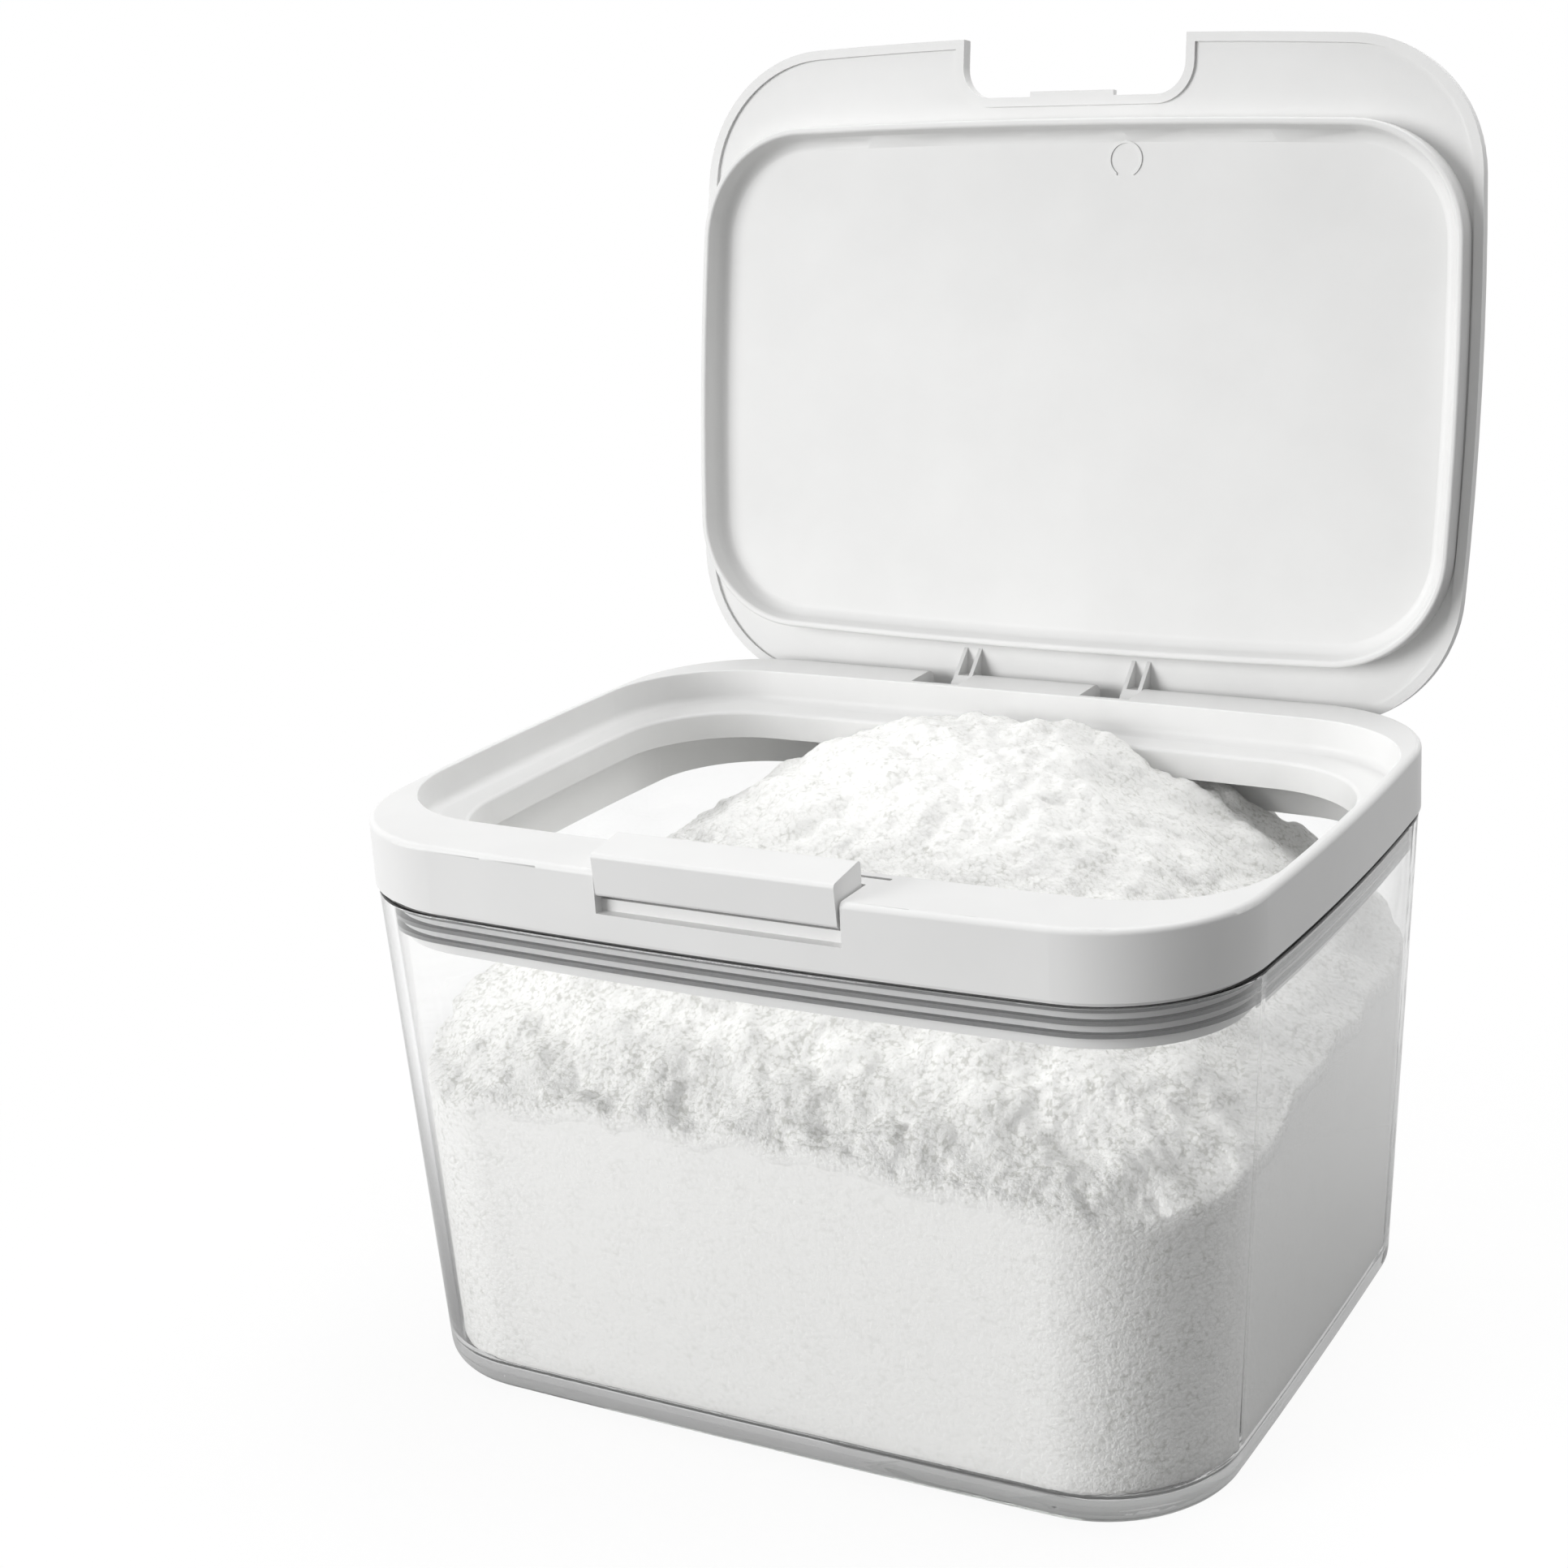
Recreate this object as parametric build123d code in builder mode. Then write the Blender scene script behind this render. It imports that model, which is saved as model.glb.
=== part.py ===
from build123d import *
from math import cos, pi, radians, sin
import os

os.makedirs("parts", exist_ok=True)

# Collar frame in plan and height, in millimetres
collar_width = 210.0
collar_depth = 164.4
collar_height = 16.0
collar_corner = 33.5
side_bow = 3.5  # how far the middle of each side stands out from its ends
collar_round = 1.3
shadow_gap = 1.2  # open line between the collar's band and the tub
shadow_gap_depth = 1.6

# Sunk seat for the lid's plug, and the mouth inside it
side_rim = 2.4
front_deck = 18.2
rear_deck = 14.2
seat_depth = 8.2
seat_corner = 30.0
seat_bow = 2.0
seat_fillet = 2.0
side_ledge = 7.6
front_ledge = 9.1
rear_ledge = 9.1
ledge_thickness = 2.2
mouth_corner = 28.0
mouth_round = 0.9
lip_drop = 6.8  # the lip round the mouth hangs this far below the ledge
lip_wall = 1.5
deck_edge = 0.3

# Clear tub
tub_height = 114.0
tub_inset = 0.4  # the tub's rim stands in from the collar's outside
base_width = 193.4
base_depth = 156.0
base_corner = 30.0
base_bow = 1.0
base_edge = 4.5
base_thickness = 5.0
floor_radius = 3.0
tub_wall = 2.4
rim_round = 0.5

# Sleeve that reaches into the tub, and its gasket
gasket_space = 2.8  # between the sleeve and the tub's inside at the rim
sleeve_wall = 1.8
sleeve_drop = 10.0
gasket_body = 1.3
gasket_bottom = 6.9  # below the collar's lower edge
gasket_top = 0.7
gasket_lips = 3
lip_thickness = 0.9
lip_clearance = 0.15

# Lid
lid_thickness = 5.2
lid_reveal = 1.4  # the lid's sides stand in from the collar's
lid_clearance = 0.3  # between the closed lid and the deck
lid_round = 2.0
lid_skirt = 2.2
lid_recess = 0.7
open_angle = 98.5
notch_width = 58.5
notch_depth = 14.5
notch_corner = 7.4
tongue_width = 22.0
tongue_reach = 1.3
tongue_thickness = 2.0

# Plug pan inside the lid
plug_side_clearance = 1.7
plug_front_clearance = 2.0
plug_rear_clearance = 1.0
plug_foot_clearance = 2.4  # room for the powder that lies on the ledge
plug_rim = 1.6
pan_depth = 5.6
pan_slope = 15.0
pan_fillet = 3.0
plug_round = 0.7
mark_radius = 4.3
mark_width = 0.5
mark_height = 0.3
mark_x = 15.0
mark_inset = 9.5

# Hinge
hinge_inset = 3.4  # axis to the collar's rear face
hinge_drop = 4.0  # axis below the deck
hinge_spacing = 46.0
arm_width = 5.0
arm_front = 10.2  # the gusset's foot in front of the axis
arm_rear = 3.0
eye_radius = 3.0
arm_channel = 3.0
channel_depth = 6.5  # back from the gusset's foot
slot_width = 13.0
slot_side_gap = 0.5
slot_reach = 9.4  # the slot's front edge in front of the axis
slot_floor_gap = 2.0
hinge_pin_radius = 1.25
hinge_pin_seat = 3.5
pin_clearance = 0.05
seat_clearance = 0.02

# Latch
latch_width = 56.0
latch_gap = 0.5
latch_height = 11.0
latch_back_height = 1.6  # the top rises this much towards the back
latch_rise = 3.9  # front edge of the top above the deck
latch_depth = 10.6
latch_overhang = 0.8
latch_round = 1.0
latch_pivot_back = 5.8  # pin behind the collar's front face
latch_pivot_drop = 2.4  # pin below the deck
latch_pin_radius = 1.0
latch_pin_seat = 4.0
hook_width = 20.0
hook_overlap = 0.6
hook_gap = 0.3
recess_depth = 2.7
recess_below = 3.8  # recess shows this far under the button
pocket_back_gap = 0.9
pocket_floor_gap = 1.3
slit_length = 64.0
slit_width = 1.1
slit_depth = 4.5
slit_back = 2.0  # deck left between the slit and the seat

# Powder heap
powder_clearance = 0.4
heap_top_gap = 2.0  # under the closed lid's pan
heap_x = -2.7
heap_back = 15.1  # peak in front of the mouth's rear edge
heap_slope_side = 0.66
heap_slope_front = 0.615
heap_slope_back = 0.8
heap_round = 22.0
heap_swell = 1.1  # height of the heap's clumps
swell_width = 31.0
swell_depth = 24.0
heap_steps = 36

# Places that the sizes above give
collar_top = tub_height + collar_height
collar_front = -collar_depth / 2
collar_rear = collar_depth / 2
seat_half = collar_width / 2 - side_rim
seat_front = collar_front + front_deck
seat_rear = collar_rear - rear_deck
ledge_z = collar_top - seat_depth
mouth_half = seat_half - side_ledge
mouth_front = seat_front + front_ledge
mouth_rear = seat_rear - rear_ledge
lip_z = ledge_z - lip_drop
sleeve_z = tub_height - sleeve_drop
hinge_y = collar_rear - hinge_inset
hinge_z = collar_top - hinge_drop
lid_plane = Plane(
    origin=(0, hinge_y, hinge_z),
    x_dir=(1, 0, 0),
    z_dir=(0, sin(radians(open_angle)), cos(radians(open_angle))),
)
lid_axis = Axis(lid_plane.origin, lid_plane.z_dir)
lid_under = hinge_drop + lid_clearance
notch_edge = collar_front + notch_depth
latch_y = collar_front + latch_pivot_back
latch_z = collar_top - latch_pivot_drop
latch_back = collar_front + latch_depth
latch_top = collar_top + latch_rise
latch_bottom = latch_top - latch_height + latch_back_height


# Closed outline whose four sides bow outwards, with round corners
def bowed_outline(half_width, front, rear, corner, bow):
    side = half_width - bow
    middle = (front + rear) / 2
    with BuildSketch() as outline:
        with BuildLine():
            ThreePointArc((-side, front + bow), (0, front), (side, front + bow))
            ThreePointArc((side, front + bow), (half_width, middle), (side, rear - bow))
            ThreePointArc((side, rear - bow), (0, rear), (-side, rear - bow))
            ThreePointArc((-side, rear - bow), (-half_width, middle), (-side, front + bow))
        make_face()
        fillet(outline.vertices(), corner)
    return outline.sketch


def collar_outline(inset):
    return bowed_outline(
        collar_width / 2 - inset,
        collar_front + inset,
        collar_rear - inset,
        collar_corner - inset,
        side_bow,
    )


def seat_outline(inset):
    return bowed_outline(
        seat_half - inset, seat_front + inset, seat_rear - inset, seat_corner - inset, seat_bow
    )


def mouth_outline(inset):
    return bowed_outline(
        mouth_half - inset, mouth_front + inset, mouth_rear - inset, mouth_corner - inset, seat_bow
    )


# The tub's outline grows evenly from the base to the rim
def tub_outline(height, inset):
    share = height / tub_height
    half_width = base_width / 2 + share * (collar_width / 2 - tub_inset - base_width / 2)
    half_depth = base_depth / 2 + share * (collar_depth / 2 - tub_inset - base_depth / 2)
    corner = base_corner + share * (collar_corner - base_corner)
    bow = base_bow + share * (side_bow - base_bow)
    return bowed_outline(
        half_width - inset, inset - half_depth, half_depth - inset, corner - inset, bow
    )


def sleeve_outline(inset):
    return tub_outline(tub_height, tub_wall + gasket_space + inset)


# Outline in the lid's own plane, measured from the hinge axis
def lid_outline(inset):
    return bowed_outline(
        collar_width / 2 - lid_reveal - inset,
        collar_front - hinge_y + inset,
        collar_rear - hinge_y - inset,
        collar_corner - inset,
        side_bow,
    )


def plug_outline(inset):
    return bowed_outline(
        seat_half - plug_side_clearance - inset,
        seat_front + plug_front_clearance - hinge_y + inset,
        seat_rear - plug_rear_clearance - hinge_y - inset,
        seat_corner - plug_side_clearance - inset,
        seat_bow,
    )


# Height of the heap: a cone with a squarish plan, a rounded peak and shallow clumps
def heap_height(x, y):
    peak_y = mouth_rear - heap_back
    slope = heap_slope_front if y < peak_y else heap_slope_back
    across = heap_slope_side * (x - heap_x)
    along = slope * (y - peak_y)
    fall = (abs(across) ** 3 + abs(along) ** 3 + heap_round**3) ** (1 / 3) - heap_round
    clump = heap_swell * sin(2 * pi * (x - heap_x) / swell_width) * sin(2 * pi * (y - peak_y) / swell_depth)
    return pan_z - heap_top_gap - fall + clump


plug_z = ledge_z + plug_foot_clearance
pan_z = plug_z + pan_depth

# Clear tub
with BuildPart() as clear_tub:
    with BuildSketch():
        add(tub_outline(0, 0))
    with BuildSketch(Plane.XY.offset(tub_height)):
        add(tub_outline(tub_height, 0))
    loft(ruled=True)
    fillet(clear_tub.edges().group_by(Axis.Z)[0], base_edge)
    with BuildSketch(Plane.XY.offset(base_thickness)):
        add(tub_outline(base_thickness, tub_wall))
    with BuildSketch(Plane.XY.offset(tub_height)):
        add(tub_outline(tub_height, tub_wall))
    loft(ruled=True, mode=Mode.SUBTRACT)
    floor_edges = clear_tub.edges().filter_by_position(
        Axis.Z, base_thickness - rim_round, base_thickness + rim_round
    )
    fillet(floor_edges, floor_radius)
    fillet(clear_tub.edges().group_by(Axis.Z)[-1], rim_round)
clear_tub.part.label = "clear_tub"
export_step(clear_tub.part, "parts/clear_tub.step")

# Collar frame
with BuildPart() as collar_frame:
    with BuildSketch(Plane.XY.offset(tub_height)):
        add(collar_outline(0))
    extrude(amount=collar_height)
    fillet(collar_frame.edges().group_by(Axis.Z)[-1], collar_round)
    # seat for the plug
    with BuildSketch(Plane.XY.offset(ledge_z)):
        add(seat_outline(0))
    extrude(amount=seat_depth, mode=Mode.SUBTRACT)
    seat_edges = collar_frame.edges(Select.LAST)
    fillet(seat_edges.filter_by_position(Axis.Z, collar_top - 0.1, collar_top + 0.1), deck_edge)
    fillet(collar_frame.edges().filter_by_position(Axis.Z, ledge_z - 0.1, ledge_z + 0.1), seat_fillet)
    # mouth and the space under the ledge
    with BuildSketch(Plane.XY.offset(tub_height)):
        add(mouth_outline(0))
    extrude(amount=collar_height, mode=Mode.SUBTRACT)
    mouth_edges = collar_frame.edges(Select.LAST)
    fillet(mouth_edges.filter_by_position(Axis.Z, ledge_z - 0.1, ledge_z + 0.1), mouth_round)
    with BuildSketch(Plane.XY.offset(tub_height)):
        add(sleeve_outline(sleeve_wall))
        add(mouth_outline(-lip_wall), mode=Mode.SUBTRACT)
    extrude(amount=ledge_z - ledge_thickness - tub_height, mode=Mode.SUBTRACT)
    with BuildSketch(Plane.XY.offset(tub_height)):
        add(mouth_outline(-lip_wall - 1))
    extrude(amount=lip_z - tub_height, mode=Mode.SUBTRACT)
    # sleeve
    with BuildSketch(Plane.XY.offset(sleeve_z)):
        add(sleeve_outline(0))
        add(sleeve_outline(sleeve_wall), mode=Mode.SUBTRACT)
    extrude(amount=sleeve_drop)
    # open line above the tub's rim
    with BuildSketch(Plane.XY.offset(tub_height)):
        add(collar_outline(0))
        add(collar_outline(shadow_gap_depth), mode=Mode.SUBTRACT)
    extrude(amount=shadow_gap, mode=Mode.SUBTRACT)
    # latch recess and pocket
    recess_z = latch_bottom - recess_below
    with BuildSketch(Plane.XY.offset(recess_z)):
        with Locations((0, collar_front)):
            Rectangle(latch_width + 2 * latch_gap, 2 * recess_depth)
    extrude(amount=collar_top - recess_z, mode=Mode.SUBTRACT)
    pocket_z = latch_bottom - pocket_floor_gap
    with BuildSketch(Plane.XY.offset(pocket_z)):
        with Locations((0, collar_front)):
            Rectangle(latch_width + 2 * latch_gap, 2 * (latch_depth + pocket_back_gap))
    extrude(amount=collar_top - pocket_z, mode=Mode.SUBTRACT)
    with BuildSketch(Plane.XY.offset(collar_top - slit_depth)):
        with Locations((0, seat_front - slit_back - slit_width / 2)):
            Rectangle(slit_length, slit_width)
    extrude(amount=slit_depth, mode=Mode.SUBTRACT)
    with BuildSketch(Plane.YZ):
        with Locations((latch_y, latch_z)):
            Circle(latch_pin_radius + seat_clearance)
    extrude(amount=latch_width / 2 + latch_pin_seat, both=True, mode=Mode.SUBTRACT)
    # rear edge rolled about the hinge axis, hinge slots and pin seats
    with BuildSketch(Plane.YZ):
        with Locations((hinge_y, hinge_z)):
            Rectangle(4 * hinge_drop, 4 * hinge_drop, align=Align.MIN)
            Circle(hinge_drop, mode=Mode.SUBTRACT)
    extrude(amount=collar_width, both=True, mode=Mode.SUBTRACT)
    slot_front = hinge_y - slot_reach
    slot_z = hinge_z - eye_radius - slot_floor_gap
    slot_shift = arm_width / 2 + slot_side_gap - slot_width / 2
    with BuildSketch(Plane.XY.offset(slot_z)):
        with Locations((slot_shift, 0)):
            with GridLocations(hinge_spacing, 0, 2, 1):
                with Locations((0, slot_front)):
                    Rectangle(slot_width, collar_depth, align=(Align.CENTER, Align.MIN))
    extrude(amount=collar_height, mode=Mode.SUBTRACT)
    for side in (-1, 1):
        pin_middle = side * hinge_spacing / 2 + slot_shift
        with BuildSketch(Plane.YZ.offset(pin_middle)):
            with Locations((hinge_y, hinge_z)):
                Circle(hinge_pin_radius + seat_clearance)
        extrude(amount=slot_width / 2 + hinge_pin_seat, both=True, mode=Mode.SUBTRACT)
collar_frame.part.label = "collar_frame"
export_step(collar_frame.part, "parts/collar_frame.step")

# Gasket: a band round the sleeve with thin lips that reach the tub
with BuildPart() as tub_gasket:
    gasket_z = tub_height - gasket_bottom
    gasket_height = gasket_bottom - gasket_top
    with BuildSketch(Plane.XY.offset(gasket_z)):
        add(sleeve_outline(-gasket_body))
        add(sleeve_outline(0), mode=Mode.SUBTRACT)
    extrude(amount=gasket_height)
    lip_pitch = (gasket_height - lip_thickness) / (gasket_lips - 1)
    for index in range(gasket_lips):
        height = gasket_z + index * lip_pitch
        with BuildSketch(Plane.XY.offset(height)):
            add(tub_outline(height, tub_wall + lip_clearance))
            add(sleeve_outline(0), mode=Mode.SUBTRACT)
        extrude(amount=lip_thickness)
tub_gasket.part.label = "tub_gasket"
export_step(tub_gasket.part, "parts/tub_gasket.step")

# Lid cover, drawn in the lid's plane from the hinge axis
with BuildPart() as lid_cover:
    with BuildSketch(lid_plane.offset(lid_under)):
        add(lid_outline(0))
        with Locations((0, collar_front - hinge_y)):
            RectangleRounded(notch_width, 2 * notch_depth, notch_corner, mode=Mode.SUBTRACT)
    extrude(amount=lid_thickness)
    with BuildSketch(lid_plane.offset(lid_under)):
        add(lid_outline(lid_skirt))
        with Locations((0, collar_front - hinge_y)):
            RectangleRounded(
                notch_width + 2 * lid_skirt,
                2 * (notch_depth + lid_skirt),
                notch_corner + lid_skirt,
                mode=Mode.SUBTRACT,
            )
    extrude(amount=lid_recess, mode=Mode.SUBTRACT)
    fillet(lid_cover.edges().group_by(lid_axis)[-1], lid_round)
    # catch tongue
    with BuildSketch(lid_plane.offset(lid_under)):
        with Locations((0, notch_edge - hinge_y)):
            Rectangle(tongue_width, 2 * tongue_reach)
    extrude(amount=tongue_thickness)
    # hinge arms: a gusset from the lid's underside to an eye, with a channel in its front
    for side in (-1, 1):
        arm_plane = Plane(
            origin=lid_plane.from_local_coords((side * hinge_spacing / 2, 0, 0)),
            x_dir=lid_plane.y_dir,
            z_dir=(1, 0, 0),
        )
        with BuildSketch(arm_plane):
            with BuildLine():
                Polyline(
                    (-arm_front, lid_under + lid_recess),
                    (arm_rear, lid_under + lid_recess),
                    (arm_rear, 0),
                    (-eye_radius * sin(radians(60)), -eye_radius * cos(radians(60))),
                    close=True,
                )
            make_face()
            Circle(eye_radius)
        extrude(amount=arm_width / 2, both=True)
        with BuildSketch(arm_plane):
            Circle(hinge_pin_radius + pin_clearance)
        extrude(amount=arm_width / 2, both=True, mode=Mode.SUBTRACT)
        with BuildSketch(arm_plane):
            with Locations((-arm_front, lid_under + lid_recess)):
                Rectangle(2 * channel_depth, 2 * lid_under, align=(Align.CENTER, Align.MAX))
        extrude(amount=arm_channel / 2, both=True, mode=Mode.SUBTRACT)
lid_cover.part.label = "lid_cover"
export_step(lid_cover.part, "parts/lid_cover.step")

# Lid liner: the plug pan, with a small moulded arc on its floor
with BuildPart() as lid_liner:
    plug_local = plug_z - hinge_z
    cover_face = lid_under + lid_recess
    with BuildSketch(lid_plane.offset(plug_local)):
        add(plug_outline(0))
    extrude(amount=cover_face - plug_local)
    with BuildSketch(lid_plane.offset(plug_local)):
        add(plug_outline(plug_rim))
    extrude(amount=pan_depth, taper=pan_slope, mode=Mode.SUBTRACT)
    pan_edges = lid_liner.edges(Select.LAST).group_by(lid_axis)[-1]
    fillet(pan_edges, pan_fillet)
    fillet(lid_liner.edges().group_by(lid_axis)[0], plug_round)
    with BuildSketch(lid_plane.offset(plug_local + pan_depth)):
        with Locations((mark_x, seat_front + plug_front_clearance + mark_inset - hinge_y)):
            Circle(mark_radius)
            Circle(mark_radius - mark_width, mode=Mode.SUBTRACT)
            Rectangle(mark_radius, 2 * mark_radius, align=(Align.CENTER, Align.MIN), mode=Mode.SUBTRACT)
    extrude(amount=-mark_height)
lid_liner.part.label = "lid_liner"
export_step(lid_liner.part, "parts/lid_liner.step")

# Latch button: leaning front, rising top and a hook behind
with BuildPart() as latch_button:
    with BuildSketch(Plane.YZ):
        with BuildLine():
            Polyline(
                (collar_front, latch_bottom),
                (latch_back, latch_bottom),
                (latch_back, latch_top + latch_back_height),
                (collar_front - latch_overhang, latch_top),
                close=True,
            )
        make_face()
    extrude(amount=latch_width / 2, both=True)
    fillet(latch_button.edges().filter_by(Axis.X), latch_round)
    hook_z = collar_top + lid_clearance + tongue_thickness + hook_gap
    hook_end = notch_edge - tongue_reach + hook_overlap
    with BuildSketch(Plane.YZ):
        with BuildLine():
            Polyline(
                (latch_back - latch_round, hook_z),
                (hook_end, hook_z),
                (latch_back - latch_round, latch_top + latch_back_height - latch_round),
                close=True,
            )
        make_face()
    extrude(amount=hook_width / 2, both=True)
    with BuildSketch(Plane.YZ):
        with Locations((latch_y, latch_z)):
            Circle(latch_pin_radius + pin_clearance)
    extrude(amount=latch_width / 2, both=True, mode=Mode.SUBTRACT)
latch_button.part.label = "latch_button"
export_step(latch_button.part, "parts/latch_button.step")

# Latch pin
with BuildPart() as latch_pin:
    with BuildSketch(Plane.YZ):
        with Locations((latch_y, latch_z)):
            Circle(latch_pin_radius)
    extrude(amount=latch_width / 2 + latch_pin_seat, both=True)
latch_pin.part.label = "latch_pin"
export_step(latch_pin.part, "parts/latch_pin.step")

# Hinge pins
for side, name in ((-1, "hinge_pin_left"), (1, "hinge_pin_right")):
    with BuildPart() as hinge_pin:
        with BuildSketch(Plane.YZ.offset(side * hinge_spacing / 2 + slot_shift)):
            with Locations((hinge_y, hinge_z)):
                Circle(hinge_pin_radius)
        extrude(amount=slot_width / 2 + hinge_pin_seat, both=True)
    hinge_pin.part.label = name
    export_step(hinge_pin.part, f"parts/{name}.step")

# Powder: fills the tub, stays inside the sleeve and the mouth above, cut to the heap's surface
heap_points = []
for row in range(heap_steps + 1):
    y = collar_depth * (row / heap_steps - 0.5)
    line = []
    for column in range(heap_steps + 1):
        x = collar_width * (column / heap_steps - 0.5)
        line.append(Vector(x, y, heap_height(x, y)))
    heap_points.append(line)
heap_face = Face.make_surface_from_array_of_points(heap_points)
with BuildPart() as detergent_powder:
    fill_z = sleeve_z - powder_clearance
    with BuildSketch(Plane.XY.offset(base_thickness)):
        add(tub_outline(base_thickness, tub_wall + floor_radius))
    with BuildSketch(Plane.XY.offset(fill_z)):
        add(tub_outline(fill_z, tub_wall + powder_clearance))
    loft(ruled=True)
    with BuildSketch(Plane.XY.offset(fill_z)):
        add(sleeve_outline(sleeve_wall + powder_clearance))
    extrude(amount=lip_z - powder_clearance - fill_z)
    with BuildSketch(Plane.XY.offset(lip_z - powder_clearance)):
        add(mouth_outline(powder_clearance))
    extrude(amount=pan_z - lip_z)
    split(bisect_by=heap_face, keep=Keep.TOP)
detergent_powder.part.label = "detergent_powder"
export_step(detergent_powder.part, "parts/detergent_powder.step")
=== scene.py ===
import bpy
import numpy as np
from mathutils import Matrix, Vector


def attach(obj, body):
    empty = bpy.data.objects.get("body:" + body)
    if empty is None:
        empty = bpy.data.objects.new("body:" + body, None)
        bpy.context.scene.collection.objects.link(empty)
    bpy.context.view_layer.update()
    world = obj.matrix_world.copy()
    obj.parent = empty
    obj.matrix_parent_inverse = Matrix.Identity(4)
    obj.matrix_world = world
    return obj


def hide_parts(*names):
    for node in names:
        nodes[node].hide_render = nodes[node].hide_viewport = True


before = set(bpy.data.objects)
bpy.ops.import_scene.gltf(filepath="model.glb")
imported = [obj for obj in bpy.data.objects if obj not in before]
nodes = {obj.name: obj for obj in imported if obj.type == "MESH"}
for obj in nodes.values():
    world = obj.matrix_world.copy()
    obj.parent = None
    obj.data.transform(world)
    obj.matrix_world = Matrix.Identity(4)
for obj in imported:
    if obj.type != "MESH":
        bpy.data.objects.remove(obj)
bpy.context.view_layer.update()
scene = bpy.context.scene
scene.view_settings.view_transform = "Standard"
print("frame loaded:", ", ".join(sorted(nodes)))

# camera: same height, turn and tilt as the picture of the open box
cameraView = {
    "azimuth": 28.24,
    "elevation": 16.42,
    "roll": -2.93,
    "lens": 60.96,
    "sensor": 36.0,
    "distance": 0.6246,
    "target": (-0.01585, 0.0259, 0.12665),
    "shift": (-0.0694, -0.0238),
    "clip": (0.01, 200.0),
}


def placeCamera(look):
    turn, rise, roll = np.radians([look["azimuth"], look["elevation"], look["roll"]])
    back = np.array([np.sin(turn) * np.cos(rise), -np.cos(turn) * np.cos(rise), np.sin(rise)])
    level = np.array([np.cos(turn), np.sin(turn), 0.0])
    upright = np.cross(back, level)
    right = np.cos(roll) * level + np.sin(roll) * upright
    up = np.cos(roll) * upright - np.sin(roll) * level
    spot = np.array(look["target"]) + look["distance"] * back
    lens = bpy.data.cameras.new("boxCamera")
    lens.sensor_width = look["sensor"]
    lens.lens = look["lens"]
    lens.shift_x, lens.shift_y = look["shift"]
    lens.clip_start, lens.clip_end = look["clip"]
    camera = bpy.data.objects.new("boxCamera", lens)
    scene.collection.objects.link(camera)
    axes = np.eye(4)
    axes[:3, 0], axes[:3, 1], axes[:3, 2], axes[:3, 3] = right, up, back, spot
    camera.matrix_world = Matrix(axes.tolist())
    scene.camera = camera


placeCamera(cameraView)
print("camera placed")

# studio: soft lamps, white backdrop, and a floor that is grey to the lamps and pale to the lens
plainWhite = (1.0, 1.0, 1.0, 1.0)
studio = {
    "worldLight": 0.42,
    "floorColour": (0.21, 0.21, 0.21, 1.0),
    "floorWhite": {"lens": (0.90, 1.0), "gloss": (0.56, 1.0), "clear": (0.1, 1.0)},
    "floorFade": {"lens": (0.13, 0.3), "gloss": (0.09, 0.17), "clear": (0.13, 0.27)},
    "floorSide": 60.0,
    "lamps": {
        "keyLeft": {
            "spot": (-3.0, -3.45, 0.95),
            "aim": (0.0, 0.0, 0.13),
            "size": 2.9,
            "power": 193.0,
        },
        "topSoft": {
            "spot": (0.25, 0.35, 1.5),
            "aim": (0.0, 0.0, 0.1),
            "size": 1.0,
            "power": 11.0,
        },
        "rightSoft": {
            "spot": (1.0, 0.6, 1.7),
            "aim": (0.02, 0.0, 0.12),
            "size": 0.8,
            "power": 2.0,
        },
        "backSoft": {
            "spot": (-0.6, 3.0, 0.45),
            "aim": (0.0, 0.1, 0.14),
            "size": 2.0,
            "power": 38.0,
            "mirrored": False,  # its image would bleach the top of the shut lid
        },
    },
}


def addMath(tree, how, first, second=0.0):
    node = tree.nodes.new("ShaderNodeMath")
    node.operation = how
    for slot, value in zip(node.inputs, (first, second)):
        if isinstance(value, (int, float)):
            slot.default_value = value
        else:
            tree.links.new(value, slot)
    return node.outputs[0]


def mixColour(tree, share, first, second):
    node = tree.nodes.new("ShaderNodeMix")
    node.data_type = "RGBA"
    tones = [socket for socket in node.inputs if socket.type == "RGBA"]
    tones[0].default_value, tones[1].default_value = first, second
    tree.links.new(share, node.inputs["Factor"])
    return [socket for socket in node.outputs if socket.type == "RGBA"][0]


def mixSurface(tree, share, first, second, out):
    mix = tree.nodes.new("ShaderNodeMixShader")
    tree.links.new(share, mix.inputs["Fac"])
    tree.links.new(first.outputs[0], mix.inputs[1])
    tree.links.new(second.outputs[0], mix.inputs[2])
    tree.links.new(mix.outputs[0], out.inputs["Surface"])


# carries a value from one span to another and stops at both ends
def rangeNode(tree, value, fromSpan, toSpan, curve="LINEAR"):
    node = tree.nodes.new("ShaderNodeMapRange")
    node.interpolation_type = curve
    node.inputs["From Min"].default_value, node.inputs["From Max"].default_value = fromSpan
    node.inputs["To Min"].default_value, node.inputs["To Max"].default_value = toSpan
    tree.links.new(value, node.inputs["Value"])
    return node.outputs["Result"]


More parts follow.
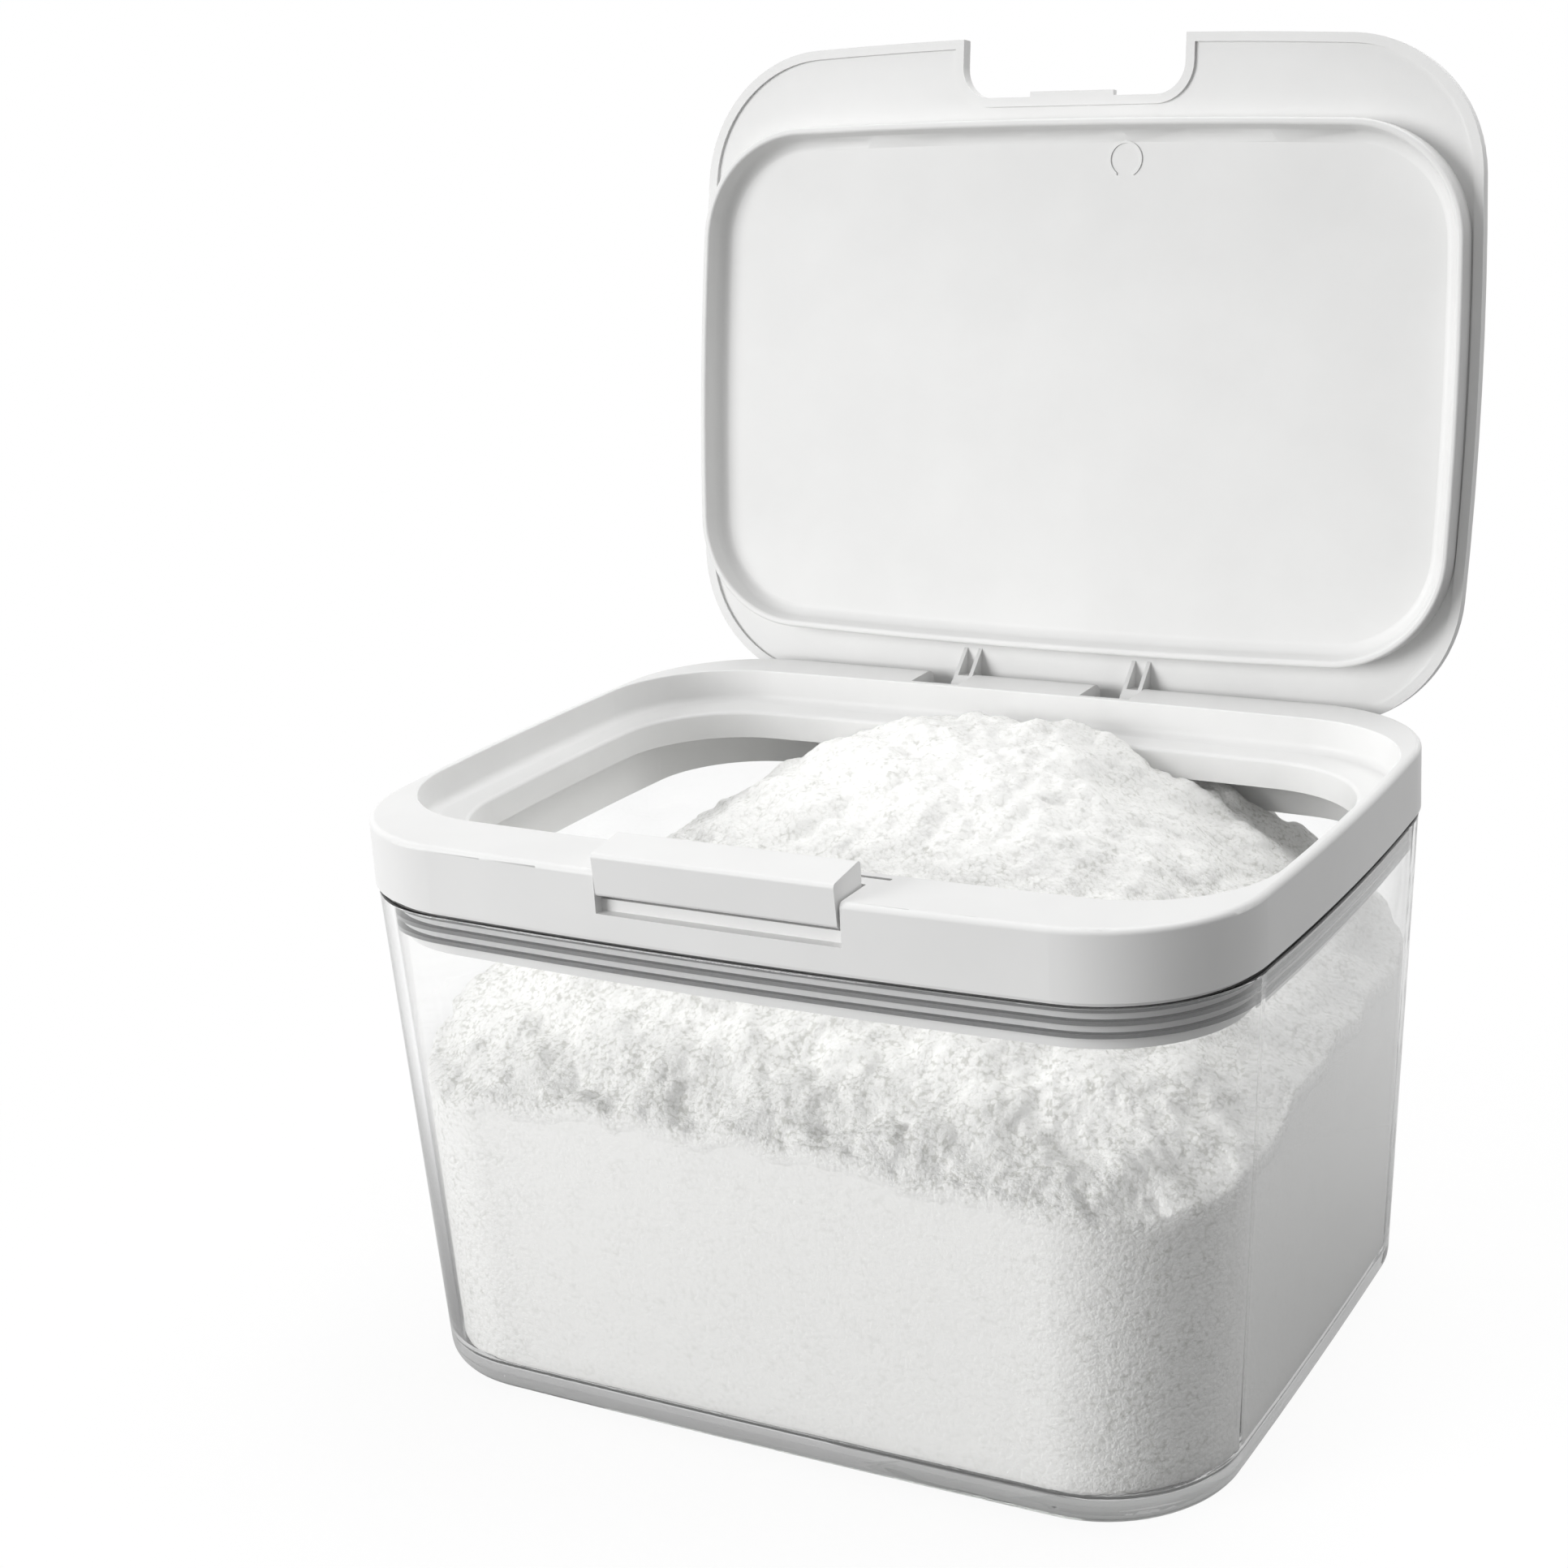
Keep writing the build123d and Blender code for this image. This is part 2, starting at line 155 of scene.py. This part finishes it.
# share of white for rays that show the backdrop to the lens, also in gloss and through clear walls,
# and none for rays that a matt surface has scattered
def seenWhite(tree, shares):
    path = tree.nodes.new("ShaderNodeLightPath")
    through = path.outputs["Is Transmission Ray"]
    # a ray bent by a clear wall counts as glossy too, so it is taken off the mirrored ones
    unbent = addMath(tree, "SUBTRACT", 1.0, through)
    mirrored = addMath(tree, "MULTIPLY", path.outputs["Is Glossy Ray"], unbent)
    rays = {"lens": path.outputs["Is Camera Ray"], "gloss": mirrored, "clear": through}
    seen = 0.0
    for key, ray in rays.items():
        seen = addMath(tree, "MAXIMUM", addMath(tree, "MULTIPLY", ray, shares[key]), seen)
    scattered = addMath(tree, "MINIMUM", path.outputs["Diffuse Depth"], 1.0)
    return addMath(tree, "SUBTRACT", seen, addMath(tree, "MULTIPLY", seen, scattered))


# shares that grow from the first to the second value with the distance from the box
def sharesByDistance(tree, plan):
    place = tree.nodes.new("ShaderNodeTexCoord")
    away = tree.nodes.new("ShaderNodeVectorMath")
    away.operation = "LENGTH"
    tree.links.new(place.outputs["Object"], away.inputs[0])
    distance = away.outputs["Value"]
    shares = {}
    for key, white in plan["floorWhite"].items():
        shares[key] = rangeNode(tree, distance, plan["floorFade"][key], white, "SMOOTHSTEP")
    return shares


def lightWorld(plan):
    world = bpy.data.worlds.new("studioWorld")
    scene.world = world
    world.use_nodes = True
    tree = world.node_tree
    tree.nodes.clear()
    soft = tree.nodes.new("ShaderNodeBackground")
    soft.inputs["Strength"].default_value = plan["worldLight"]
    white = tree.nodes.new("ShaderNodeBackground")
    for ground in (soft, white):
        ground.inputs["Color"].default_value = plainWhite
    share = seenWhite(tree, {"lens": 1.0, "gloss": 1.0, "clear": 1.0})
    mixSurface(tree, share, soft, white, tree.nodes.new("ShaderNodeOutputWorld"))


def layFloor(plan):
    mesh = bpy.data.meshes.new("paleFloor")
    side = plan["floorSide"]
    corners = [(-side, -side, 0), (side, -side, 0), (side, side, 0), (-side, side, 0)]
    mesh.from_pydata(corners, [], [(0, 1, 2, 3)])
    floor = bpy.data.objects.new("paleFloor", mesh)
    scene.collection.objects.link(floor)
    paint = bpy.data.materials.new("paleFloor")
    paint.use_nodes = True
    tree = paint.node_tree
    tree.nodes.clear()
    matt = tree.nodes.new("ShaderNodeBsdfDiffuse")
    lensRay = tree.nodes.new("ShaderNodeLightPath").outputs["Is Camera Ray"]
    colour = mixColour(tree, lensRay, plan["floorColour"], plainWhite)
    tree.links.new(colour, matt.inputs["Color"])
    glow = tree.nodes.new("ShaderNodeEmission")
    glow.inputs["Strength"].default_value = 1.0
    share = seenWhite(tree, sharesByDistance(tree, plan))
    mixSurface(tree, share, matt, glow, tree.nodes.new("ShaderNodeOutputMaterial"))
    mesh.materials.append(paint)


def hangLamps(plan):
    for name, lamp in plan["lamps"].items():
        light = bpy.data.lights.new(name, "AREA")
        light.shape = "DISK"
        light.size = lamp["size"]
        light.energy = lamp["power"]
        holder = bpy.data.objects.new(name, light)
        scene.collection.objects.link(holder)
        holder.location = lamp["spot"]
        aim = Vector(lamp["aim"]) - Vector(lamp["spot"])
        holder.rotation_euler = aim.to_track_quat("-Z", "Y").to_euler()
        holder.visible_camera = False
        holder.visible_glossy = lamp.get("mirrored", True)


lightWorld(studio)
layFloor(studio)
hangLamps(studio)
print("studio lit")

# grain that all the finishes share; the shove is in crumbs, the parts are shares of the height
grainMix = {
    "broadDetail": 3.0,
    "fineDetail": 5.0,
    "fineRough": 0.65,
    "shove": 1.6,
    "crumbTop": 1.2,
    "broadPart": 1.2,
    "crumbPart": 0.4,
    "usual": (0.3, 0.7),  # most of the noise lies between these
}


# shader group: broad cloudiness, fine speckle, crumbs with gaps between them,
# and a height made of all three
def buildGrainGroup(plan):
    group = bpy.data.node_groups.new("surfaceGrain", "ShaderNodeTree")
    group.interface.new_socket(name="Place", in_out="INPUT", socket_type="NodeSocketVector")
    for name in ("Broad Scale", "Fine Scale"):
        group.interface.new_socket(name=name, in_out="INPUT", socket_type="NodeSocketFloat")
    for name in ("Broad", "Fine", "Crumbs", "Height"):
        group.interface.new_socket(name=name, in_out="OUTPUT", socket_type="NodeSocketFloat")
    come = group.nodes.new("NodeGroupInput")
    leave = group.nodes.new("NodeGroupOutput")
    broad = group.nodes.new("ShaderNodeTexNoise")
    broad.inputs["Detail"].default_value = plan["broadDetail"]
    fine = group.nodes.new("ShaderNodeTexNoise")
    fine.inputs["Detail"].default_value = plan["fineDetail"]
    fine.inputs["Roughness"].default_value = plan["fineRough"]
    cells = group.nodes.new("ShaderNodeTexVoronoi")
    link = group.links.new
    for texture, scale in ((broad, "Broad Scale"), (fine, "Fine Scale"), (cells, "Fine Scale")):
        link(come.outputs[scale], texture.inputs["Scale"])
    for texture in (broad, fine):
        link(come.outputs["Place"], texture.inputs["Vector"])
    # the speckle shoves the crumbs about, so that no two are alike
    shove = group.nodes.new("ShaderNodeVectorMath")
    shove.operation = "MULTIPLY_ADD"
    reach = addMath(group, "DIVIDE", plan["shove"], come.outputs["Fine Scale"])
    link(fine.outputs["Color"], shove.inputs[0])
    link(reach, shove.inputs[1])
    link(come.outputs["Place"], shove.inputs[2])
    link(shove.outputs["Vector"], cells.inputs["Vector"])
    crumbs = addMath(group, "SUBTRACT", plan["crumbTop"], cells.outputs["Distance"])
    height = addMath(group, "MULTIPLY", broad.outputs["Fac"], plan["broadPart"])
    height = addMath(group, "ADD", height, fine.outputs["Fac"])
    height = addMath(group, "ADD", height, addMath(group, "MULTIPLY", crumbs, plan["crumbPart"]))
    link(broad.outputs["Fac"], leave.inputs["Broad"])
    link(fine.outputs["Fac"], leave.inputs["Fine"])
    link(crumbs, leave.inputs["Crumbs"])
    link(height, leave.inputs["Height"])
    return group


grainGroup = buildGrainGroup(grainMix)


def grainNode(tree, place, plan):
    grain = tree.nodes.new("ShaderNodeGroup")
    grain.node_tree = grainGroup
    grain.inputs["Broad Scale"].default_value = plan["broad"]
    grain.inputs["Fine Scale"].default_value = plan["fine"]
    tree.links.new(place.outputs["Object"], grain.inputs["Place"])
    return grain


def grainRange(tree, value, toSpan):
    return rangeNode(tree, value, grainMix["usual"], toSpan)


def heightAbove(tree, place):
    level = tree.nodes.new("ShaderNodeSeparateXYZ")
    tree.links.new(place.outputs["Object"], level.inputs[0])
    return level.outputs["Z"]


# painted shade in the grooves between the gasket's lips: the first, dark tone for the lower part of
# each pitch, the second for the rest
def grooveShadeBands(tree, place, lips):
    above = addMath(tree, "SUBTRACT", heightAbove(tree, place), lips["lowest"])
    step = addMath(tree, "FRACT", addMath(tree, "DIVIDE", above, lips["pitch"]))
    return addMath(tree, "GREATER_THAN", step, lips["thick"])


# solid finish: two tones, a roughness range and a fine bump
def solidFinish(name, plan):
    material = bpy.data.materials.new(name)
    material.use_nodes = True
    tree = material.node_tree
    shader = tree.nodes["Principled BSDF"]
    place = tree.nodes.new("ShaderNodeTexCoord")
    grain = grainNode(tree, place, plan)
    height = grain.outputs["Height"]
    # painted shade: dark bands in the grooves between the gasket's lips
    if "lips" in plan:
        share = grooveShadeBands(tree, place, plan["lips"])
    else:
        share = grainRange(tree, grain.outputs["Broad"], plan.get("patchy", (0.0, 1.0)))
    # painted shade in the gaps between crumbs; the same attribute also scales the bump
    if "reliefAndShadeBy" in plan:
        reliefAndShade = tree.nodes.new("ShaderNodeAttribute")
        reliefAndShade.attribute_name = plan["reliefAndShadeBy"]
        height = addMath(tree, "MULTIPLY", height, reliefAndShade.outputs["Fac"])
        gapShade = grainRange(tree, grain.outputs["Crumbs"], (1.0, 0.0))
        gapShade = addMath(tree, "MULTIPLY", gapShade, reliefAndShade.outputs["Fac"])
        share = addMath(tree, "MULTIPLY", share, gapShade)
    rough = grainRange(tree, grain.outputs["Fine"], plan["rough"])
    tree.links.new(mixColour(tree, share, *plan["tones"]), shader.inputs["Base Color"])
    tree.links.new(rough, shader.inputs["Roughness"])
    shader.inputs["Metallic"].default_value = plan.get("metal", 0.0)
    shader.inputs["Specular IOR Level"].default_value = plan.get("shine", 0.5)
    bump = tree.nodes.new("ShaderNodeBump")
    bump.inputs["Strength"].default_value = plan["bump"]
    bump.inputs["Distance"].default_value = plan["depth"]
    tree.links.new(height, bump.inputs["Height"])
    tree.links.new(bump.outputs["Normal"], shader.inputs["Normal"])
    return material


whiteMoulding = {
    "tones": ((0.79, 0.79, 0.785, 1.0), (0.82, 0.82, 0.815, 1.0)),
    "rough": (0.36, 0.46),
    "broad": 40.0,
    "fine": 2200.0,
    "bump": 0.12,
    "depth": 0.0001,
    "shine": 0.3,
}
# a darker copy of the white moulding: painted shade on the lid
shadedLidMoulding = dict(
    whiteMoulding,
    tones=((0.74, 0.74, 0.735, 1.0), (0.77, 0.77, 0.765, 1.0)),
)
latchMoulding = dict(
    whiteMoulding,
    tones=((0.8, 0.8, 0.795, 1.0), (0.83, 0.83, 0.825, 1.0)),
    rough=(0.32, 0.42),
)
greySilicone = {
    # the first tone is painted shade in the grooves between the lips, the second is the silicone's
    # own grey
    "tones": ((0.13, 0.132, 0.133, 1.0), (0.6, 0.602, 0.603, 1.0)),
    "lips": {"lowest": 0.1071, "pitch": 0.00265, "thick": 0.345},
    "rough": (0.5, 0.65),
    "broad": 120.0,
    "fine": 1500.0,
    "bump": 0.1,
    "depth": 0.0001,
}
drawnSteel = {
    "tones": ((0.42, 0.42, 0.43, 1.0), (0.5, 0.5, 0.51, 1.0)),
    "rough": (0.25, 0.4),
    "broad": 200.0,
    "fine": 3000.0,
    "bump": 0.1,
    "depth": 0.00005,
    "metal": 1.0,
}
# the second tone is painted shade in the gaps between crumbs, scaled by a per-point attribute
loosePowder = {
    "tones": ((0.965, 0.965, 0.95, 1.0), (0.72, 0.72, 0.69, 1.0)),
    "patchy": (0.2, 1.4),
    "reliefAndShadeBy": "reliefAndShade",
    "rough": (0.85, 1.0),
    "broad": 190.0,
    "fine": 980.0,
    "bump": 0.7,
    "depth": 0.0006,
    "shine": 0.2,
}
clearPlastic = {
    "tint": plainWhite,
    # painted shade for walls seen edge on and for the foot
    "edgeShade": (0.1, 0.105, 0.1, 1.0),
    "edgeFrom": (0.66, 0.95),
    "footFrom": (0.0065, 0.0015),
    "footShare": 0.75,
    "passing": plainWhite,
    "bend": 1.45,
    "rough": (0.01, 0.03),
    "broad": 18.0,
    "fine": 60.0,
    "deepTint": (0.0, 0.06, 0.0, 1.0),
    "deepness": 3.0,
}


# clear moulding: bends light to the eye, lets lamp light straight through to what it holds,
# and its colour is darkened with painted shade where it is seen edge on and towards its foot
def clearFinish(name, plan):
    material = bpy.data.materials.new(name)
    material.use_nodes = True
    tree = material.node_tree
    shader = tree.nodes["Principled BSDF"]
    out = tree.nodes["Material Output"]
    facing = tree.nodes.new("ShaderNodeLayerWeight").outputs["Facing"]
    edge = rangeNode(tree, facing, plan["edgeFrom"], (0.0, 1.0))
    place = tree.nodes.new("ShaderNodeTexCoord")
    foot = rangeNode(tree, heightAbove(tree, place), plan["footFrom"], (0.0, plan["footShare"]))
    # painted shade: the colour darkens towards the dark edge colour where the wall is seen edge on
    # and towards the foot
    colour = mixColour(tree, addMath(tree, "MAXIMUM", edge, foot), plan["tint"], plan["edgeShade"])
    tree.links.new(colour, shader.inputs["Base Color"])
    shader.inputs["Transmission Weight"].default_value = 1.0
    shader.inputs["IOR"].default_value = plan["bend"]
    grain = grainNode(tree, place, plan)
    rough = grainRange(tree, grain.outputs["Broad"], plan["rough"])
    tree.links.new(rough, shader.inputs["Roughness"])
    passing = tree.nodes.new("ShaderNodeBsdfTransparent")
    passing.inputs["Color"].default_value = plan["passing"]
    path = tree.nodes.new("ShaderNodeLightPath").outputs
    lampRay = addMath(tree, "MAXIMUM", path["Is Shadow Ray"], path["Is Diffuse Ray"])
    mixSurface(tree, lampRay, shader, passing, out)
    deep = tree.nodes.new("ShaderNodeVolumeAbsorption")
    deep.inputs["Color"].default_value = plan["deepTint"]
    deep.inputs["Density"].default_value = plan["deepness"]
    tree.links.new(deep.outputs["Volume"], out.inputs["Volume"])
    return material


finishes = {
    "whiteMoulding": solidFinish("whiteMoulding", whiteMoulding),
    "shadedLidMoulding": solidFinish("shadedLidMoulding", shadedLidMoulding),
    "latchMoulding": solidFinish("latchMoulding", latchMoulding),
    "greySilicone": solidFinish("greySilicone", greySilicone),
    "drawnSteel": solidFinish("drawnSteel", drawnSteel),
    "loosePowder": solidFinish("loosePowder", loosePowder),
    "clearPlastic": clearFinish("clearPlastic", clearPlastic),
}
finishOf = {
    "clear_tub": "clearPlastic",
    "collar_frame": "whiteMoulding",
    "tub_gasket": "greySilicone",
    "lid_cover": "shadedLidMoulding",
    "lid_liner": "shadedLidMoulding",
    "latch_button": "latchMoulding",
    "latch_pin": "drawnSteel",
    "hinge_pin_left": "drawnSteel",
    "hinge_pin_right": "drawnSteel",
}
for node, finish in finishOf.items():
    mesh = nodes[node].data
    mesh.materials.clear()
    mesh.materials.append(finishes[finish])
print("finishes assigned")

# inside of the tub in metres, each pair at the base and at the rim
tubInside = {
    "halfX": (0.0967, 0.1046),
    "halfY": (0.078, 0.0818),
    "corner": (0.030, 0.0335),
    "bow": (0.001, 0.0035),
    "height": 0.114,
    "wall": 0.0024,
    "farthest": 0.2,
    "halvings": 30,
}
# powder: the heap in the tub, sizes in metres
powderHeap = {
    "peak": (-0.0027, 0.0438, 0.1278),
    "slopes": {"side": 0.66, "front": 0.615, "back": 0.8},
    "round": 0.022,
    "wallGap": 0.0002,
    "floor": 0.0052,
    "floorRound": 0.003,
    "floorTurns": (30, 60, 90),
    "cells": 256,
    "wallRows": 16,
    "rim": {"first": 0.072, "passes": 4, "between": (0.03, 0.1)},
    "mouth": {
        "half": (0.0946, 0.0565),
        "middle": 0.002,
        "corner": 0.0276,
        "bow": 0.002,
        "top": 0.1145,
    },
    "sleeve": {
        "half": (0.0972, 0.0744),
        "middle": 0.0,
        "corner": 0.0261,
        "bow": 0.0035,
        "top": 0.1034,
    },
    "highest": 0.1292,
    "wave": {"height": 0.0011, "width": 0.031, "depth": 0.024},
    "swell": {"cell": 0.013, "height": 0.0022, "seed": 5},
    "clumps": (
        {"cell": 0.0085, "share": 0.17, "seed": 3},
        {"cell": 0.0036, "share": 0.2, "seed": 7},
    ),
    "clumpBall": (0.4, 0.5),  # smallest radius and what chance adds, in cells
    "clumpCrowd": 1.1,
    "clumpSink": 0.45,
    "crumbs": {
        "cell": 0.0052,
        "shrink": 0.55,
        "height": 0.0012,
        "falloff": 0.6,
        "octaves": 4,
        "seed": 21,
    },
    "diceSide": {"clumps": 97, "swell": 61},
    "steepest": 1.0,
    "wallBand": 0.06,
    # shares of relief and of painted shade between crumbs, by where the powder lies
    "reliefAndShadeAt": {"top": 0.8, "slope": 1.5, "side": 0.25, "corner": 1.1},
    "reliefAndShadeFade": (0.085, 0.115),  # heights where the slope ends and the top begins
    "cornerTurn": (52, 9),  # where a corner lies and how wide it is, in degrees
}


def between(pair, share):
    return pair[0] + share * (pair[1] - pair[0])


# signed distance to a rectangle with bowed sides and round corners, below zero inside
def bowedDistance(x, y, halfX, halfY, corner, bow):
    reachX = halfX - bow * (y / halfY) ** 2
    reachY = halfY - bow * (x / halfX) ** 2
    qx = np.abs(x) - reachX + corner
    qy = np.abs(y) - reachY + corner
    outside = np.hypot(np.maximum(qx, 0), np.maximum(qy, 0))
    return outside + np.minimum(np.maximum(qx, qy), 0) - corner


# how far the tub's inside reaches from its middle in a direction, at a height:
# the interval between inside and outside is halved again and again
def tubReach(angle, height, inset):
    share = height / tubInside["height"]
    halfX = between(tubInside["halfX"], share) - inset
    halfY = between(tubInside["halfY"], share) - inset
    corner = between(tubInside["corner"], share) - inset
    bow = between(tubInside["bow"], share)
    near, far = np.zeros_like(angle), np.full_like(angle, tubInside["farthest"])
    for _ in range(tubInside["halvings"]):
        middle = (near + far) / 2
        x, y = middle * np.cos(angle), middle * np.sin(angle)
        inside = bowedDistance(x, y, halfX, halfY, corner, bow) < 0
        near, far = np.where(inside, middle, near), np.where(inside, far, middle)
    return (near + far) / 2


# rounded cone with a squarish plan: the fall is the cube root of the summed cubes of the falls
# across and along, and a wave across times a wave along makes the broad clumps
def heapHeight(x, y):
    peakX, peakY, peakZ = powderHeap["peak"]
    slopes, rounding = powderHeap["slopes"], powderHeap["round"]
    across = slopes["side"] * (x - peakX)
    along = np.where(y < peakY, slopes["front"], slopes["back"]) * (y - peakY)
    fall = np.cbrt(np.abs(across) ** 3 + np.abs(along) ** 3 + rounding**3) - rounding
    wave = powderHeap["wave"]
    waveX = np.sin(2 * np.pi * (x - peakX) / wave["width"])
    waveY = np.sin(2 * np.pi * (y - peakY) / wave["depth"])
    return peakZ - fall + wave["height"] * (waveX * waveY)


# round clumps: each cell of a jittered grid holds one ball,
# and a point takes the tallest cap over it
def clumpField(x, y, cell, seed):
    side = powderHeap["diceSide"]["clumps"]
    smallest, chance = powderHeap["clumpBall"]
    dice = np.random.default_rng(seed).random((side, side, 3))
    column, row = np.floor(x / cell).astype(int), np.floor(y / cell).astype(int)
    tallest = np.zeros_like(x)
    for stepX in (-1, 0, 1):
        for stepY in (-1, 0, 1):
            throw = dice[(column + stepX) % side, (row + stepY) % side]
            ballX = (column + stepX + throw[..., 0]) * cell
            ballY = (row + stepY + throw[..., 1]) * cell
            ball = cell * (smallest + chance * throw[..., 2])
            cap = np.maximum(ball**2 - (x - ballX) ** 2 - (y - ballY) ** 2, 0)
            tallest = np.maximum(tallest, np.sqrt(cap))
    return tallest


# slow swell: random heights on a coarse grid, joined by smooth steps
def swellField(x, y, cell, seed):
    side = powderHeap["diceSide"]["swell"]
    dice = np.random.default_rng(seed).random((side, side)) - 0.5
    column, row = np.floor(x / cell).astype(int), np.floor(y / cell).astype(int)
    fx, fy = x / cell - column, y / cell - row
    fx, fy = fx * fx * (3 - 2 * fx), fy * fy * (3 - 2 * fy)
    left, right = column % side, (column + 1) % side
    front, back = row % side, (row + 1) % side
    low = dice[left, front] * (1 - fx) + dice[right, front] * fx
    high = dice[left, back] * (1 - fx) + dice[right, back] * fx
    return low * (1 - fy) + high * fy


# keeps the heap below the collar: under the sleeve and the mouth's lip outside their outlines
def capHeight(x, y, z):
    for name in ("sleeve", "mouth"):
        rim = powderHeap[name]
        away = bowedDistance(x, y - rim["middle"], *rim["half"], rim["corner"], rim["bow"])
        z = np.where(away > 0, np.minimum(z, rim["top"]), z)
    return np.minimum(z, powderHeap["highest"])


# clumps of each size, and crumbs: smooth random heights, finer and lower in each octave
def lumpHeight(x, y):
    lump = np.zeros_like(x)
    crowd, sink = powderHeap["clumpCrowd"], powderHeap["clumpSink"]
    for clump in powderHeap["clumps"]:
        cell = clump["cell"]
        balls = clumpField(x * crowd, y * crowd, cell, clump["seed"])
        lump += clump["share"] * (balls - sink * cell)
    crumbs = powderHeap["crumbs"]
    for octave in range(crumbs["octaves"]):
        fine = crumbs["cell"] * crumbs["shrink"] ** octave
        rise = crumbs["height"] * crumbs["falloff"] ** octave
        lump += rise * swellField(x, y, fine, crumbs["seed"] + octave)
    return lump


# top: square rings of a grid drawn out to the tub's outline at the height where the heap meets it
def powderTop(inset):
    ramp = np.linspace(-1, 1, powderHeap["cells"] + 1)
    u, v = np.meshgrid(ramp, ramp, indexing="ij")
    ring = np.maximum(np.abs(u), np.abs(v))
    angle = np.arctan2(v * tubInside["halfY"][1], u * tubInside["halfX"][1])
    rim, swell = powderHeap["rim"], powderHeap["swell"]
    height = np.full_like(angle, rim["first"])
    for _ in range(rim["passes"]):
        reach = tubReach(angle, height, inset)
        met = heapHeight(reach * np.cos(angle), reach * np.sin(angle))
        height = np.clip(met, *rim["between"])
    x, y = ring * reach * np.cos(angle), ring * reach * np.sin(angle)
    z = heapHeight(x, y)
    z += swell["height"] * swellField(x, y, swell["cell"], swell["seed"])
    # lumps stand along the slope's normal, and straight up beside the wall
    smallStep, steepest = 1e-5, powderHeap["steepest"]
    slopeX = np.gradient(z, axis=0) / np.maximum(np.gradient(x, axis=0), smallStep)
    slopeY = np.gradient(z, axis=1) / np.maximum(np.gradient(y, axis=1), smallStep)
    slopeX, slopeY = np.clip(slopeX, -steepest, steepest), np.clip(slopeY, -steepest, steepest)
    lump = lumpHeight(x, y)
    free = np.clip((1 - ring) / powderHeap["wallBand"], 0, 1)
    length = np.sqrt(1 + slopeX**2 + slopeY**2)
    x = x - free * lump * slopeX / length
    y = y - free * lump * slopeY / length
    z = capHeight(x, y, z + lump / length)
    return angle, np.stack([x, y, z], -1)


# sides: the top's outer ring carried down the wall in even rows, then round the foot on an arc
def powderSide(rimAngle, rimZ, inset):
    rounding = powderHeap["floorRound"]
    low = powderHeap["floor"] + rounding
    drop = np.linspace(0, 1, powderHeap["wallRows"] + 1)[1:, None]
    wallZ = rimZ[None, :] + (low - rimZ[None, :]) * drop
    turn = np.radians(np.array(powderHeap["floorTurns"]))[:, None]
    footZ = np.repeat(powderHeap["floor"] + rounding * (1 - np.sin(turn)), len(rimZ), axis=1)
    footIn = np.repeat(rounding * (1 - np.cos(turn)), len(rimZ), axis=1)
    sideZ = np.concatenate([wallZ, footZ])
    sideIn = np.concatenate([np.zeros_like(wallZ), footIn])
    sideAngle = np.broadcast_to(rimAngle, sideZ.shape)
    sideReach = tubReach(sideAngle, sideZ, inset) - sideIn
    side = np.stack([sideReach * np.cos(sideAngle), sideReach * np.sin(sideAngle), sideZ], -1)
    return sideAngle, side


# squares of the top's grid, squares between the rows of the sides, and one face underneath
def powderFaces(rimLoop, rowCount):
    cells, count = powderHeap["cells"], len(rimLoop)
    i, j = np.meshgrid(np.arange(cells), np.arange(cells), indexing="ij")
    corner = (i * (cells + 1) + j).ravel()
    top = np.stack([corner, corner + cells + 1, corner + cells + 2, corner + 1], -1)
    start = (cells + 1) ** 2
    below = start + np.arange(rowCount * count).reshape(-1, count)
    rows = np.concatenate([rimLoop[None, :], below])
    ahead = np.roll(rows, -1, axis=1)
    wall = np.stack([rows[:-1], rows[1:], ahead[1:], ahead[:-1]], -1).reshape(-1, 4)
    return [*top.tolist(), *wall.tolist(), rows[-1][::-1].tolist()]


# relief and painted shade between crumbs: some on top, more down the slope, little where the powder
# is pressed smooth along the walls, more round the corners
def powderReliefAndShade(topZ, sideAngle):
    reliefAndShadeAt = powderHeap["reliefAndShadeAt"]
    lying = np.interp(topZ, powderHeap["reliefAndShadeFade"], [reliefAndShadeAt["slope"], reliefAndShadeAt["top"]])
    cornerAt, cornerWide = powderHeap["cornerTurn"]
    turned = np.abs(np.abs(np.degrees(sideAngle)) % 180 - 90)
    inCorner = np.exp(-(((turned - cornerAt) / cornerWide) ** 2))
    pressed = between((reliefAndShadeAt["side"], reliefAndShadeAt["corner"]), inCorner)
    return np.concatenate([lying, pressed.ravel()])


def buildPowder():
    cells = powderHeap["cells"]
    inset = tubInside["wall"] + powderHeap["wallGap"]
    angle, top = powderTop(inset)
    topZ = top[..., 2].ravel()
    along = np.arange(cells)
    # the grid's outer ring, once round
    rimLoop = np.concatenate([
        along * (cells + 1),
        cells * (cells + 1) + along,
        (cells - along) * (cells + 1) + cells,
        cells - along,
    ])
    sideAngle, side = powderSide(angle.ravel()[rimLoop], topZ[rimLoop], inset)
    points = np.concatenate([top.reshape(-1, 3), side.reshape(-1, 3)])
    mesh = bpy.data.meshes.new("powderHeap")
    mesh.from_pydata(points, [], powderFaces(rimLoop, len(side)))
    mesh.polygons.foreach_set("use_smooth", np.ones(len(mesh.polygons), bool))
    # per-point share of relief and of painted shade between crumbs
    mesh.attributes.new(loosePowder["reliefAndShadeBy"], "FLOAT", "POINT")
    reliefAndShade = mesh.attributes[loosePowder["reliefAndShadeBy"]]
    reliefAndShade.data.foreach_set("value", powderReliefAndShade(topZ, sideAngle))
    mesh.update()
    heap = bpy.data.objects.new("powderHeap", mesh)
    scene.collection.objects.link(heap)
    mesh.materials.append(finishes["loosePowder"])
    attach(heap, "box")
    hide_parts("detergent_powder")
    print("powder heap:", len(mesh.polygons), "faces")


buildPowder()
